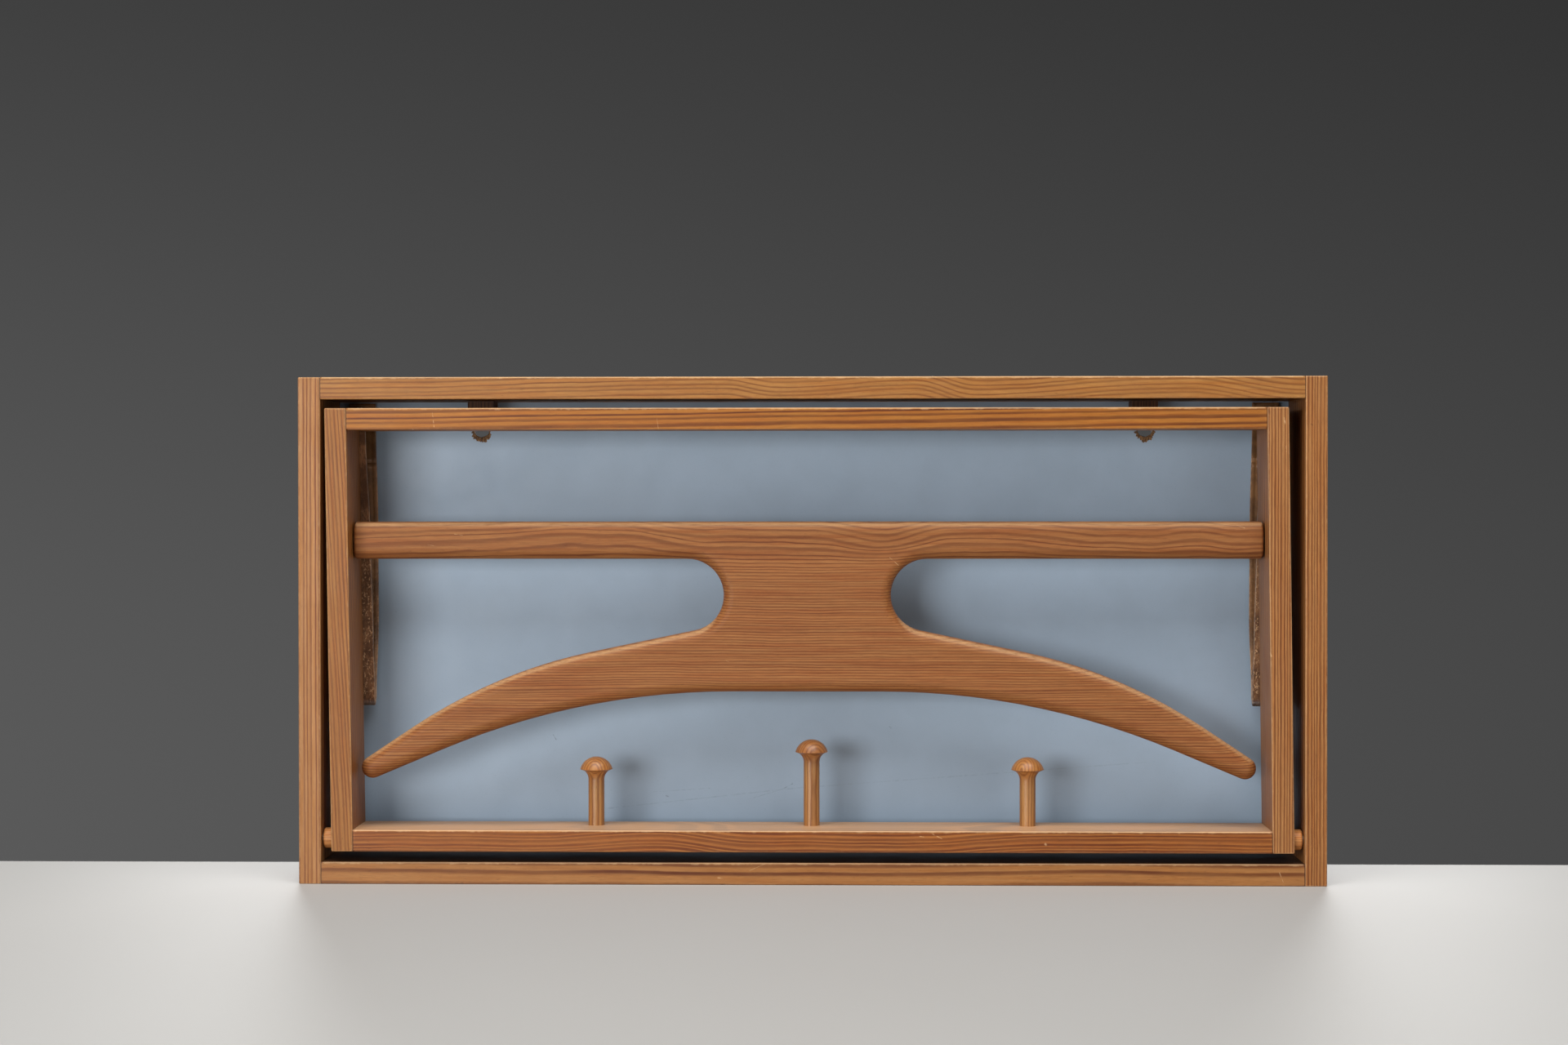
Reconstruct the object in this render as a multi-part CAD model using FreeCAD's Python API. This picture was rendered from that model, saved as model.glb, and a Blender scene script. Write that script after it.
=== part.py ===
import FreeCAD, Part
import math
import os

os.makedirs("parts", exist_ok=True)

# Folding coat hanger, in millimetres
# X runs to the right, Y into the wall, Z up, from the middle of the case's underside
Vec = FreeCAD.Vector
SIDES = (("left", -1), ("right", 1))

# How far cutting solids run past a face, and how near two places count as one
overrun = 1.0
same_place = 0.05
leaning_share = 0.995

# Case of four boards
case_width = 520.0
case_height = 257.2
case_depth = 64.5
case_board = 11.2
board_arris = 0.6

# Back panel in a rebate, with its two hanging holes and its pins
panel_thickness = 6.0
panel_ledge = 5.6
panel_play = 0.2
hang_hole_radius = 4.1
hang_hole_inset = 86.0
hang_hole_drop = 26.0
panel_pin_radius = 0.7
panel_pin_head_radius = 1.4
panel_pin_head = 0.8
panel_pin_length = 15.0
panel_pins_across = 5
panel_pins_up = 2
panel_pin_end_share = 0.08

# Dowels in the corners of the case
case_dowel_radius = 2.5
case_dowel_in_side = 7.0
case_dowel_in_rail = 17.0
case_dowel_setback = 14.0

# Blocks under the top rail that stop the frame
stop_block_width = 13.4
stop_block_height = 10.0
stop_block_shift = 1.8
stop_gap = 0.2

# Swing frame, whose old corners have racked a little to the left
frame_board = 11.0
frame_side_gap = 5.2
frame_foot_gap = 5.3
frame_head_gap = 4.5
frame_lean = 3.1
frame_dowel_radius = 2.5
frame_dowel_in_stile = 7.0
frame_dowel_in_rail = 13.0
frame_dowels_deep = 2

# Hinge at the foot of the frame
hinge_setback = 8.0
hinge_rise = 6.1
hinge_pin_radius = 2.5
hinge_pin_recess = 0.4
hinge_pin_in_rail = 10.0
hinge_collar_radius = 5.25
hinge_collar_round = 1.2
hinge_collar_gap = 0.5
collar_seat = 0.1
running_clearance = 0.05
pin_chamfer = 0.3

# Pegs on the bottom rail
peg_spacing_share = 0.47635
peg_shift = 5.0
side_peg_height = 35.2
centre_peg_height = 44.2
peg_stem_radius = 4.1
peg_tenon = 8.0
peg_head_radius = 8.35
peg_dome_height = 6.4
peg_rim_drop = 0.8
peg_flare_radius = 6.3
peg_flare_height = 5.2
peg_flare_bow = 0.55

# Hanger board that turns in the frame
bar_rise = 151.6
bar_height = 19.0
bar_end_gap = 0.8
bar_end_round = 1.5
hanger_thickness = 18.0
hanger_shift = 1.5
hanger_round = 5.5
hanger_tip_gap = 3.9
neck_width = 85.4
notch_radius = 18.6
arm_pitch_degrees = 11.8
upper_bend_share = 0.7
upper_bend_radius_share = 1.1369
arch_drop = 77.4
lower_bend_share = 0.507
lower_bend_radius_share = 1.6834
tip_drop = 116.4
tip_radius = 5.6

# Pins on which the hanger board turns
pivot_pin_radius = 2.5
pivot_pin_in_bar = 14.0
pivot_pin_in_stile = 7.0

# Leather straps, folded when the frame is shut
strap_width = 14.0
strap_thickness = 3.0
strap_side_gap = 3.9
strap_seat = 0.1
strap_room = 18.5
strap_top_gap = 0.6
strap_frame_gap = 2.0
strap_end_length = 10.5
strap_fold_radius = 2.2
strap_fold_rise = 68.3

# Screws and washers that hold the straps
strap_screw_setback = 6.0
strap_screw_radius = 1.4
strap_screw_grip = 5.0
strap_screw_head_radius = 2.7
strap_screw_head = 1.8
strap_screw_round = 0.9
strap_washer_radius = 4.0
strap_washer_thickness = 0.6

# Places worked out from the sizes above
front = -case_depth / 2
back = case_depth / 2
case_half = case_width / 2
case_inner_half = case_half - case_board
case_inner_top = case_height - case_board
panel_front = back - panel_thickness
frame_half = case_inner_half - frame_side_gap
frame_inner_half = frame_half - frame_board
frame_foot = case_board + frame_foot_gap
frame_top = case_inner_top - frame_head_gap
frame_height = frame_top - frame_foot
frame_back = panel_front - strap_room
frame_depth = frame_back - front
frame_middle = front + frame_depth / 2
hinge_y = front + hinge_setback
hinge_z = frame_foot + hinge_rise
bar_y = frame_middle + hanger_shift
bar_z = hinge_z + bar_rise
strap_x = case_inner_half - strap_side_gap - strap_width / 2


def lean_at(z):
    """Sideways shift of the racked frame at a height."""
    return -frame_lean * (z - hinge_z) / frame_height


def box(x0, x1, y0, y1, z0, z1):
    low = Vec(min(x0, x1), min(y0, y1), min(z0, z1))
    return Part.makeBox(abs(x1 - x0), abs(y1 - y0), abs(z1 - z0), low)


def rod_x(x0, x1, y, z, radius):
    return Part.makeCylinder(radius, abs(x1 - x0), Vec(min(x0, x1), y, z), Vec(1, 0, 0))


def rod_y(y0, y1, x, z, radius):
    return Part.makeCylinder(radius, abs(y1 - y0), Vec(x, min(y0, y1), z), Vec(0, 1, 0))


def edges_along(shape, axis):
    """Straight edges of a board that run along one axis, or nearly so."""
    found = []
    for edge in shape.Edges:
        run = edge.Vertexes[-1].Point.sub(edge.Vertexes[0].Point)
        if abs(run.dot(axis)) > run.Length * leaning_share:
            found.append(edge)
    return found


def edges_across(shape, axis, place):
    """Edges that lie in the plane square to an axis at a place."""
    found = []
    for edge in shape.Edges:
        bounds = edge.BoundBox
        low = Vec(bounds.XMin, bounds.YMin, bounds.ZMin).dot(axis)
        high = Vec(bounds.XMax, bounds.YMax, bounds.ZMax).dot(axis)
        if abs(low - place) < same_place and abs(high - place) < same_place:
            found.append(edge)
    return found


def eased(shape, axes):
    """Rounds off the arrises that run along the given axes."""
    edges = []
    for axis in axes:
        edges += edges_along(shape, axis)
    return shape.makeFillet(board_arris, edges)


def cut_all(shape, tools):
    for tool in tools:
        shape = shape.cut(tool)
    return shape


def save(name, solids):
    """Writes one node, as one solid or as a group of separate solids."""
    shape = solids[0] if len(solids) == 1 else Part.makeCompound(solids)
    shape.exportStep("parts/" + name + ".step")
    volume = sum(solid.Volume for solid in shape.Solids)
    print(name, len(shape.Solids), "solids", round(volume), "cubic mm", shape.isValid())


ALONG_X = Vec(1, 0, 0)
ALONG_Y = Vec(0, 1, 0)
ALONG_Z = Vec(0, 0, 1)


# Back panel and its holes
def panel_box(play):
    half = case_inner_half + panel_ledge - play
    low = case_board - panel_ledge + play
    high = case_inner_top + panel_ledge - play
    return box(-half, half, panel_front, back, low, high)


def hang_hole_places():
    z = case_height - hang_hole_drop
    return [(side * (case_half - hang_hole_inset), z) for name, side in SIDES]


def panel_pin_places():
    """Pins stand in the middle of the ledge, evenly along each side of the panel."""
    across = case_inner_half + panel_ledge / 2
    low = case_board - panel_ledge / 2
    high = case_inner_top + panel_ledge / 2
    places = []
    for number in range(panel_pins_across):
        share = panel_pin_end_share + (1 - 2 * panel_pin_end_share) * number / (panel_pins_across - 1)
        x = -across + 2 * across * share
        places += [(x, low), (x, high)]
    for number in range(panel_pins_up):
        z = low + (high - low) * (number + 1) / (panel_pins_up + 1)
        places += [(-across, z), (across, z)]
    return places


def panel_pin(x, z):
    shank = rod_y(back - panel_pin_length, back, x, z, panel_pin_radius)
    head = rod_y(back - panel_pin_head, back, x, z, panel_pin_head_radius)
    return shank.fuse(head).removeSplitter()


panel_pins = [panel_pin(x, z) for x, z in panel_pin_places()]
hang_holes = [
    rod_y(panel_front - overrun, back + overrun, x, z, hang_hole_radius) for x, z in hang_hole_places()
]


# Case boards, joined by dowels
def case_dowel(side, y, z):
    outer = side * (case_inner_half + case_dowel_in_side)
    inner = side * (case_inner_half - case_dowel_in_rail)
    return rod_x(outer, inner, y, z, case_dowel_radius)


case_dowels = []
for name, side in SIDES:
    for z in (case_board / 2, case_height - case_board / 2):
        for y in (front + case_dowel_setback, panel_front - case_dowel_setback):
            case_dowels.append(case_dowel(side, y, z))


def hinge_bore(side):
    outer = side * (case_half + overrun)
    inner = side * (case_inner_half - overrun)
    return rod_x(outer, inner, hinge_y, hinge_z, hinge_pin_radius + running_clearance)


def case_side(side):
    board = box(side * case_inner_half, side * case_half, front, back, 0, case_height)
    board = eased(board, (ALONG_X, ALONG_Y, ALONG_Z))
    return cut_all(board, [panel_box(0), hinge_bore(side)] + case_dowels + panel_pins)


def case_rail(low):
    board = box(-case_inner_half, case_inner_half, front, back, low, low + case_board)
    board = eased(board, (ALONG_X,))
    return cut_all(board, [panel_box(0)] + case_dowels + panel_pins)


# Stop blocks between the frame and the panel
def stop_block(side):
    middle = side * (case_half - hang_hole_inset - stop_block_shift)
    left = middle - stop_block_width / 2
    right = middle + stop_block_width / 2
    low = case_inner_top - stop_block_height
    return box(left, right, frame_back + stop_gap, panel_front, low, case_inner_top)


# Swing frame, whose outlines lean with its height
def leaning_board(left, right, low, high):
    """A board whose ends at left and right follow the lean between two heights."""
    corners = [
        Vec(left + lean_at(low), front, low),
        Vec(right + lean_at(low), front, low),
        Vec(right + lean_at(high), front, high),
        Vec(left + lean_at(high), front, high),
    ]
    outline = Part.makePolygon(corners + corners[:1])
    return Part.Face(outline).extrude(Vec(0, frame_depth, 0))


def frame_dowel(side, y, z):
    joint = side * frame_inner_half + lean_at(z)
    outer = joint + side * frame_dowel_in_stile
    inner = joint - side * frame_dowel_in_rail
    return rod_x(outer, inner, y, z, frame_dowel_radius)


# The dowels of a corner share the depth between the hinge pin and the strap screw evenly
dowel_room_start = hinge_y + hinge_pin_radius
dowel_room = frame_back - strap_screw_grip - dowel_room_start
dowel_gap = (dowel_room - 2 * frame_dowel_radius * frame_dowels_deep) / (frame_dowels_deep + 1)
frame_dowels = []
for name, side in SIDES:
    for z in (frame_foot + frame_board / 2, frame_top - frame_board / 2):
        for number in range(frame_dowels_deep):
            y = dowel_room_start + (number + 1) * dowel_gap + (2 * number + 1) * frame_dowel_radius
            frame_dowels.append(frame_dowel(side, y, z))


# Hinge pins and the collars on them
def chamfered_pin(outer, inner, y, z, radius):
    pin = rod_x(outer, inner, y, z, radius)
    rims = edges_across(pin, ALONG_X, outer) + edges_across(pin, ALONG_X, inner)
    return pin.makeChamfer(pin_chamfer, rims)


def hinge_pin(side):
    outer = side * (case_half - hinge_pin_recess)
    inner = side * (frame_inner_half - hinge_pin_in_rail)
    return chamfered_pin(outer, inner, hinge_y, hinge_z, hinge_pin_radius)


def hinge_collar(side):
    outer = side * (case_inner_half - hinge_collar_gap)
    inner = side * (frame_half + collar_seat)
    collar = rod_x(outer, inner, hinge_y, hinge_z, hinge_collar_radius)
    collar = collar.makeFillet(hinge_collar_round, edges_across(collar, ALONG_X, outer))
    bore = rod_x(outer + side * overrun, inner - side * overrun, hinge_y, hinge_z, hinge_pin_radius)
    return collar.cut(bore)


hinge_pins = {side: hinge_pin(side) for name, side in SIDES}


# Pegs, turned in one piece with their tenons
def peg_profile(height):
    rim = height - peg_dome_height
    under = rim - peg_rim_drop
    neck = under - peg_flare_height
    dome_centre = height - (peg_head_radius**2 + peg_dome_height**2) / (2 * peg_dome_height)
    dome_radius = height - dome_centre
    lift = math.atan2(rim - dome_centre, peg_head_radius)
    turn = (lift + math.pi / 2) / 2
    dome_middle = Vec(dome_radius * math.cos(turn), 0, dome_centre + dome_radius * math.sin(turn))
    flare_middle = Vec(
        (peg_stem_radius + peg_flare_radius) / 2 - peg_flare_bow, 0, (neck + under) / 2 + peg_flare_bow
    )
    foot = Vec(0, 0, -peg_tenon)
    foot_rim = Vec(peg_stem_radius, 0, -peg_tenon)
    stem_top = Vec(peg_stem_radius, 0, neck)
    flare_top = Vec(peg_flare_radius, 0, under)
    head_rim = Vec(peg_head_radius, 0, rim)
    crown = Vec(0, 0, height)
    return [
        Part.LineSegment(foot, foot_rim).toShape(),
        Part.LineSegment(foot_rim, stem_top).toShape(),
        Part.Arc(stem_top, flare_middle, flare_top).toShape(),
        Part.LineSegment(flare_top, head_rim).toShape(),
        Part.Arc(head_rim, dome_middle, crown).toShape(),
        Part.LineSegment(crown, foot).toShape(),
    ]


def peg(x, height):
    face = Part.Face(Part.Wire(peg_profile(height)))
    turned = face.revolve(Vec(0, 0, 0), ALONG_Z, 360)
    turned.translate(Vec(x, frame_middle + peg_shift, frame_foot + frame_board))
    return turned


peg_spacing = peg_spacing_share * frame_inner_half
pegs = {
    "peg_left": peg(-peg_spacing, side_peg_height),
    "peg_centre": peg(0, centre_peg_height),
    "peg_right": peg(peg_spacing, side_peg_height),
}


# Hanger board, drawn from the middle of its bar
hanger_x = lean_at(bar_z)
bar_half = frame_inner_half - bar_end_gap
half_span = frame_inner_half - hanger_tip_gap
tip_x = half_span - tip_radius


def tangent_to_tip(corner, upper):
    """Where a straight arm edge from a corner meets the round of the tip."""
    across = tip_x - corner[0]
    down = -tip_drop - corner[1]
    reach = math.hypot(across, down)
    swing = math.asin(tip_radius / reach)
    heading = math.atan2(down, across) + (swing if upper else -swing)
    run = math.sqrt(reach**2 - tip_radius**2)
    return (corner[0] + run * math.cos(heading), corner[1] + run * math.sin(heading)), heading


def bend(corner, heading_in, heading_out, radius):
    """Start, middle and end of the arc that rounds a corner between two headings."""
    turn = heading_out - heading_in
    side = 1 if turn > 0 else -1
    length = radius * math.tan(abs(turn) / 2)
    start = (corner[0] - length * math.cos(heading_in), corner[1] - length * math.sin(heading_in))
    end = (corner[0] + length * math.cos(heading_out), corner[1] + length * math.sin(heading_out))
    bow = side * radius
    centre = (start[0] - bow * math.sin(heading_in), start[1] + bow * math.cos(heading_in))
    half = heading_in + turn / 2
    middle = (centre[0] + bow * math.sin(half), centre[1] - bow * math.cos(half))
    return start, middle, end


def hanger_half_outline():
    """Moves from the top of the bar's middle to the underside of the arch, as a start and lines or arcs."""
    half_bar = bar_height / 2
    pitch = math.radians(arm_pitch_degrees)
    notch = (neck_width / 2 + notch_radius, -half_bar - notch_radius)
    notch_end = (notch[0] - notch_radius * math.sin(pitch), notch[1] - notch_radius * math.cos(pitch))
    upper_x = upper_bend_share * half_span
    upper = (upper_x, notch_end[1] - (upper_x - notch_end[0]) * math.tan(pitch))
    upper_tangent, upper_heading = tangent_to_tip(upper, True)
    upper_radius = upper_bend_radius_share * half_span
    upper_start, upper_middle, upper_end = bend(upper, -pitch, upper_heading, upper_radius)
    lower = (lower_bend_share * half_span, -arch_drop)
    lower_tangent, lower_heading = tangent_to_tip(lower, False)
    lower_radius = lower_bend_radius_share * half_span
    lower_start, lower_middle, lower_end = bend(lower, 0, lower_heading, lower_radius)
    outward = (upper_heading + lower_heading) / 2
    tip_end = (tip_x + tip_radius * math.cos(outward), -tip_drop + tip_radius * math.sin(outward))
    return (0, half_bar), [
        [(bar_half, half_bar)],
        [(bar_half, -half_bar)],
        [(notch[0], -half_bar)],
        [(neck_width / 2, notch[1]), notch_end],
        [upper_start],
        [upper_middle, upper_end],
        [upper_tangent],
        [tip_end, lower_tangent],
        [lower_end],
        [lower_middle, lower_start],
        [(0, -arch_drop)],
    ]


def hanger_edges(side):
    def place(spot):
        return Vec(hanger_x + side * spot[0], bar_y - hanger_thickness / 2, bar_z + spot[1])

    start, moves = hanger_half_outline()
    edges = []
    for move in moves:
        spots = [place(start)] + [place(spot) for spot in move]
        maker = Part.LineSegment if len(spots) == 2 else Part.Arc
        edges.append(maker(*spots).toShape())
        start = move[-1]
    return edges


def pivot_pin(side):
    outer = hanger_x + side * (frame_inner_half + pivot_pin_in_stile)
    inner = hanger_x + side * (bar_half - pivot_pin_in_bar)
    return chamfered_pin(outer, inner, bar_y, bar_z, pivot_pin_radius)


pivot_pins = {side: pivot_pin(side) for name, side in SIDES}


def hanger_board():
    outline = Part.Wire(Part.__sortEdges__(hanger_edges(1) + hanger_edges(-1)))
    board = Part.Face(outline).extrude(Vec(0, hanger_thickness, 0)).removeSplitter()
    faces = []
    for y in (bar_y - hanger_thickness / 2, bar_y + hanger_thickness / 2):
        faces += edges_across(board, ALONG_Y, y)
    board = board.makeFillet(hanger_round, [edge for edge in faces if edge.BoundBox.XLength > same_place])
    left_end = edges_across(board, ALONG_X, hanger_x - bar_half)
    right_end = edges_across(board, ALONG_X, hanger_x + bar_half)
    board = board.makeFillet(bar_end_round, left_end + right_end)
    return cut_all(board, list(pivot_pins.values()))


# Leather straps: a screwed end, a rear run, a fold and a front run
rear_y = panel_front - strap_seat - strap_thickness / 2
front_y = frame_back + strap_seat + strap_thickness / 2
fold_y = (rear_y + front_y) / 2
fold_z = hinge_z + strap_fold_rise
rear_top = case_inner_top - strap_top_gap
front_top = frame_top - strap_frame_gap
rear_hinge = rear_top - strap_end_length
front_hinge = front_top - strap_end_length


def strap_run(side, y, z, way):
    """One run of a folded strap, from its screwed end to the bottom of the fold."""
    across = fold_y - y
    down = fold_z - z
    reach = math.hypot(across, down)
    swing = math.asin(strap_fold_radius / reach)
    heading = math.atan2(down, across) + way * swing
    run = math.sqrt(reach**2 - strap_fold_radius**2)
    touch = math.atan2(z + run * math.sin(heading) - fold_z, y + run * math.cos(heading) - fold_y)
    bottom = -math.pi / 2
    if touch > math.pi / 2:
        bottom += 2 * math.pi
    inner = strap_fold_radius - strap_thickness / 2
    outer = strap_fold_radius + strap_thickness / 2
    left = strap_x * side - strap_width / 2

    def on_fold(radius, angle):
        return Vec(left, fold_y + radius * math.cos(angle), fold_z + radius * math.sin(angle))

    def at_end(radius):
        return Vec(left, y + (radius - strap_fold_radius) / math.cos(touch), z)

    middle = (touch + bottom) / 2
    edges = [
        Part.LineSegment(at_end(inner), at_end(outer)).toShape(),
        Part.LineSegment(at_end(outer), on_fold(outer, touch)).toShape(),
        Part.Arc(on_fold(outer, touch), on_fold(outer, middle), on_fold(outer, bottom)).toShape(),
        Part.LineSegment(on_fold(outer, bottom), on_fold(inner, bottom)).toShape(),
        Part.Arc(on_fold(inner, bottom), on_fold(inner, middle), on_fold(inner, touch)).toShape(),
        Part.LineSegment(on_fold(inner, touch), at_end(inner)).toShape(),
    ]
    return Part.Face(Part.Wire(edges)).extrude(Vec(strap_width, 0, 0))


def strap_end(side, y, top, screw):
    left = strap_x * side - strap_width / 2
    low = top - strap_end_length
    leather = box(left, left + strap_width, y - strap_thickness / 2, y + strap_thickness / 2, low, top)
    return leather.cut(screw)


def strap_screw(x, z, seat, way):
    """A round-headed screw whose point runs along Y, forwards or backwards."""
    face = seat - way * (strap_seat + strap_thickness + strap_washer_thickness)
    shank = rod_y(face, seat + way * strap_screw_grip, x, z, strap_screw_radius)
    head = rod_y(face, face - way * strap_screw_head, x, z, strap_screw_head_radius)
    head = head.makeFillet(strap_screw_round, edges_across(head, ALONG_Y, face - way * strap_screw_head))
    return shank.fuse(head).removeSplitter()


def strap_washer(x, z, seat, way):
    near = seat - way * (strap_seat + strap_thickness)
    ring = rod_y(near, near - way * strap_washer_thickness, x, z, strap_washer_radius)
    return ring.cut(rod_y(near + overrun, near - overrun, x, z, strap_screw_radius))


case_screw_z = rear_top - strap_screw_setback
frame_screw_z = front_top - strap_screw_setback
case_screws = {}
case_washers = []
frame_screws = {}
frame_washers = []
for name, side in SIDES:
    stile_middle = side * (frame_half - frame_board / 2) + lean_at(frame_screw_z)
    frame_screw_x = (stile_middle + side * strap_x) / 2
    case_screws[side] = strap_screw(side * strap_x, case_screw_z, panel_front, 1)
    case_washers.append(strap_washer(side * strap_x, case_screw_z, panel_front, 1))
    frame_screws[side] = strap_screw(frame_screw_x, frame_screw_z, frame_back, -1)
    frame_washers.append(strap_washer(frame_screw_x, frame_screw_z, frame_back, -1))


# Frame boards with the holes for all that they carry
def pivot_bore(side):
    outer = hanger_x + side * (frame_inner_half + pivot_pin_in_stile + running_clearance)
    inner = hanger_x + side * (frame_inner_half - overrun)
    return rod_x(outer, inner, bar_y, bar_z, pivot_pin_radius + running_clearance)


def frame_stile(side):
    outer = side * frame_half
    inner = side * frame_inner_half
    board = leaning_board(min(outer, inner), max(outer, inner), frame_foot, frame_top)
    board = eased(board, (ALONG_X, ALONG_Y, ALONG_Z))
    return cut_all(board, [hinge_pins[side], pivot_bore(side), frame_screws[side]] + frame_dowels)


def frame_rail(low):
    board = leaning_board(-frame_inner_half, frame_inner_half, low, low + frame_board)
    return cut_all(eased(board, (ALONG_X,)), frame_dowels)


def frame_foot_rail():
    return cut_all(frame_rail(frame_foot), list(hinge_pins.values()) + list(pegs.values()))


def back_panel():
    return cut_all(panel_box(panel_play), hang_holes + panel_pins + list(case_screws.values()))


# Nodes of the case
save("case_top_rail", [case_rail(case_inner_top)])
save("case_bottom_rail", [case_rail(0)])
save("case_corner_dowels", case_dowels)
save("back_panel", [back_panel()])
save("panel_pins", panel_pins)
save("strap_case_screws", list(case_screws.values()))
save("strap_case_washers", case_washers)

# Nodes of the swing frame
save("frame_top_rail", [frame_rail(frame_top - frame_board)])
save("frame_bottom_rail", [frame_foot_rail()])
save("frame_corner_dowels", frame_dowels)
save("strap_frame_screws", list(frame_screws.values()))
save("strap_frame_washers", frame_washers)
for peg_name, peg_solid in pegs.items():
    save(peg_name, [peg_solid])

# Node of the hanger, and the nodes that come in pairs
save("hanger_board", [hanger_board()])
for name, side in SIDES:
    save("case_side_" + name, [case_side(side)])
    save("stop_block_" + name, [stop_block(side)])
    save("frame_stile_" + name, [frame_stile(side)])
    save("hinge_collar_" + name, [hinge_collar(side)])
    save("hinge_pin_" + name, [hinge_pins[side]])
    save("pivot_pin_" + name, [pivot_pins[side]])
    save("strap_" + name + "_case_end", [strap_end(side, rear_y, rear_top, case_screws[side])])
    save("strap_" + name + "_rear", [strap_run(side, rear_y, rear_hinge, 1)])
    save("strap_" + name + "_front", [strap_run(side, front_y, front_hinge, -1)])
    save("strap_" + name + "_frame_end", [strap_end(side, front_y, front_top, frame_screws[side])])

print("frame hinge", 0, hinge_y, hinge_z)
print("bar pivot", hanger_x, bar_y, bar_z)
print("strap rear bend", strap_x, rear_y, rear_hinge)
print("strap fold", strap_x, fold_y, fold_z)
print("strap front bend", strap_x, front_y, front_hinge)
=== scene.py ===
import math
import random

import bmesh
import bpy
from mathutils import Euler, Matrix, Vector


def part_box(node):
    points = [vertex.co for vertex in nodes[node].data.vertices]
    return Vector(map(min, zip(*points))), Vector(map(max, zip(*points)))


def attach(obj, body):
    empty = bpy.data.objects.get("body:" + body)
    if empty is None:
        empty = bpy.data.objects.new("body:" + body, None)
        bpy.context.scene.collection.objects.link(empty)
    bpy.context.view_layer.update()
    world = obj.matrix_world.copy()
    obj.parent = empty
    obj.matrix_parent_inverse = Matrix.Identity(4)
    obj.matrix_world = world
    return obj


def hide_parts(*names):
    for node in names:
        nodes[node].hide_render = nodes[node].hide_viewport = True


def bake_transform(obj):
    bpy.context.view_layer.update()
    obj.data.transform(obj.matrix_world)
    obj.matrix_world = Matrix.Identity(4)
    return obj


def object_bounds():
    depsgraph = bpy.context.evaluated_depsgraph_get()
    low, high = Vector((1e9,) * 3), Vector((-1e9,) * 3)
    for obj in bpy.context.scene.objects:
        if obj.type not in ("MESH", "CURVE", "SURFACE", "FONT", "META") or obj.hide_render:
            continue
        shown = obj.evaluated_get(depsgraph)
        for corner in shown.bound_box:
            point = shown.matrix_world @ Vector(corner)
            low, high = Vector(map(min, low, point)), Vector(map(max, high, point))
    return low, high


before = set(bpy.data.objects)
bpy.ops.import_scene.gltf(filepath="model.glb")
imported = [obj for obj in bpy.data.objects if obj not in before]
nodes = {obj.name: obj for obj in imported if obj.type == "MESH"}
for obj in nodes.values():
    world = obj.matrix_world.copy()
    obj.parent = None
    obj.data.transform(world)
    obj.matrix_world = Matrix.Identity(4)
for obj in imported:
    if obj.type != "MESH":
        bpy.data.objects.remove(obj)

# Metres throughout: X to the right, Y into the wall, Z up from the foot of the case
mm = 0.001
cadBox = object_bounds()


def place(x, y, z):
    return Vector((x, y, z)) * mm


# Small helpers for shader trees
def addNode(tree, kind, **settings):
    node = tree.nodes.new(kind)
    for name, value in settings.items():
        setattr(node, name, value)
    return node


def plug(tree, value, socket):  # links a socket, or sets a plain value
    if isinstance(value, bpy.types.NodeSocket):
        tree.links.new(value, socket)
    else:
        socket.default_value = value


def maths(tree, operation, *values, clamp=False):
    node = addNode(tree, "ShaderNodeMath", operation=operation, use_clamp=clamp)
    for number, value in enumerate(values):
        plug(tree, value, node.inputs[number])
    return node.outputs[0]


def vectorMaths(tree, operation, *values, output="Vector"):
    node = addNode(tree, "ShaderNodeVectorMath", operation=operation)
    for number, value in enumerate(values):
        plug(tree, value, node.inputs[number])
    return node.outputs[output]


def smooth(tree, value, low, high, outLow=0.0, outHigh=1.0):
    node = addNode(tree, "ShaderNodeMapRange", interpolation_type="SMOOTHSTEP", clamp=True)
    for number, part in enumerate((value, low, high, outLow, outHigh)):
        plug(tree, part, node.inputs[number])
    return node.outputs[0]


def noise(tree, vector, scale, detail=2.0, roughness=0.5, dimensions="3D"):
    node = addNode(tree, "ShaderNodeTexNoise", noise_dimensions=dimensions)
    plug(tree, vector, node.inputs["W" if dimensions == "1D" else "Vector"])
    plug(tree, scale, node.inputs["Scale"])
    plug(tree, detail, node.inputs["Detail"])
    plug(tree, roughness, node.inputs["Roughness"])
    return node.outputs[0]


def mixColour(tree, share, first, second, blend="MIX"):
    node = addNode(tree, "ShaderNodeMix", data_type="RGBA", blend_type=blend)
    plug(tree, share, node.inputs[0])
    plug(tree, first, node.inputs[6])
    plug(tree, second, node.inputs[7])
    return node.outputs[2]


def grey(tree, value):
    node = addNode(tree, "ShaderNodeCombineColor")
    for number in range(3):
        plug(tree, value, node.inputs[number])
    return node.outputs[0]


def split(tree, vector):
    node = addNode(tree, "ShaderNodeSeparateXYZ")
    plug(tree, vector, node.inputs[0])
    return node.outputs


def joined(tree, x, y, z):
    node = addNode(tree, "ShaderNodeCombineXYZ")
    for number, part in enumerate((x, y, z)):
        plug(tree, part, node.inputs[number])
    return node.outputs[0]


# A new node group with its named sockets, and its input and output nodes
def group(name, inputs, outputs):
    tree = bpy.data.node_groups.new(name, "ShaderNodeTree")
    for label, kind, default in inputs:
        socket = tree.interface.new_socket(label, in_out="INPUT", socket_type="NodeSocket" + kind)
        socket.default_value = default
    for label, kind in outputs:
        tree.interface.new_socket(label, in_out="OUTPUT", socket_type="NodeSocket" + kind)
    return tree, addNode(tree, "NodeGroupInput").outputs, addNode(tree, "NodeGroupOutput").inputs


# Places a group; its sockets are given by name, with spaces left out
def useGroup(tree, groupTree, **values):
    node = addNode(tree, "ShaderNodeGroup", node_tree=groupTree)
    for socket in node.inputs:
        key = socket.name.replace(" ", "")
        if key in values:
            plug(tree, values[key], socket)
    return node.outputs


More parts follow.
